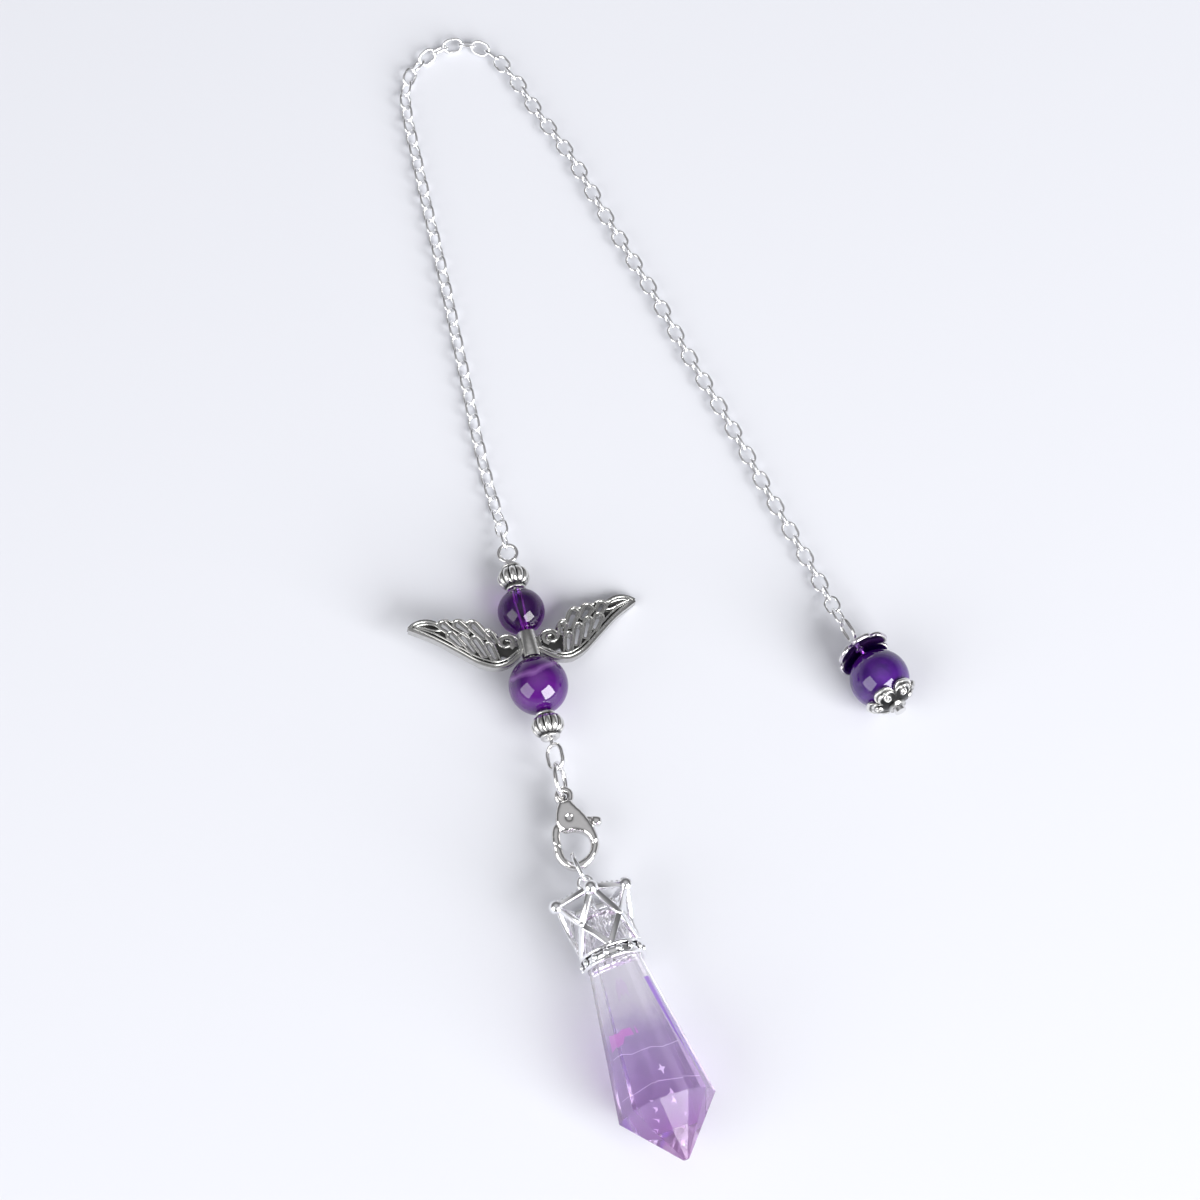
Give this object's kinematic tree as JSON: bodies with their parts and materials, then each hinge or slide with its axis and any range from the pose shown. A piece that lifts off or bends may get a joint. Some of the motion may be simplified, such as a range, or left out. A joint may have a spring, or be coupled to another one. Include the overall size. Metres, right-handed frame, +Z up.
{
  "type": "pendulum pendant",
  "caption": "Faceted amethyst point in an openwork crown cap, hung by a lobster clasp from a winged bead pin and a fine cable chain that ends in a capped bead grip, lying flat.",
  "frame": {"origin": "bottom centre of the bounding box, on the surface that the pendulum lies on", "axes": "+Y along the length, from the crystal's point towards the chain's bend; +Z up from the surface; +X to the right"},
  "size_m": [0.0891, 0.2079, 0.0155],
  "materials": {
    "bright_silver": "polished silver plate",
    "antique_silver": "antique silver with dark recesses",
    "deep_amethyst": "polished translucent deep purple stone",
    "milky_amethyst": "polished milky purple stone",
    "clear_amethyst": "polished clear to purple stone"
  },
  "bodies": {
    "pendulum": {"chain_near": "bright_silver", "chain_far": "bright_silver", "wing_pin": "bright_silver", "rib_bead_upper": "antique_silver", "bead_small": "deep_amethyst", "wing_spacer": "antique_silver", "bead_large": "milky_amethyst", "rib_bead_lower": "antique_silver", "jump_ring": "bright_silver", "clasp_body": "bright_silver", "clasp_rivet": "bright_silver", "crown_ring": "bright_silver", "crown_peg": "bright_silver", "crown": "bright_silver", "crystal": "clear_amethyst", "grip_pin": "bright_silver", "grip_cap_inner": "bright_silver", "grip_bead": "deep_amethyst", "grip_cap_outer": "bright_silver"},
    "lever": {"clasp_lever": "bright_silver"}
  },
  "joints": [
    {"name": "lever_hinge", "type": "hinge", "parent": "pendulum", "child": "lever", "pos_m": [-0.01281, -0.04772, 0.00424], "axis": [0.0224, -0.11, 0.9937], "range_deg": [0, 28], "stiffness_Nm_per_rad": 0.001, "springref_deg": -17.19}
  ]
}
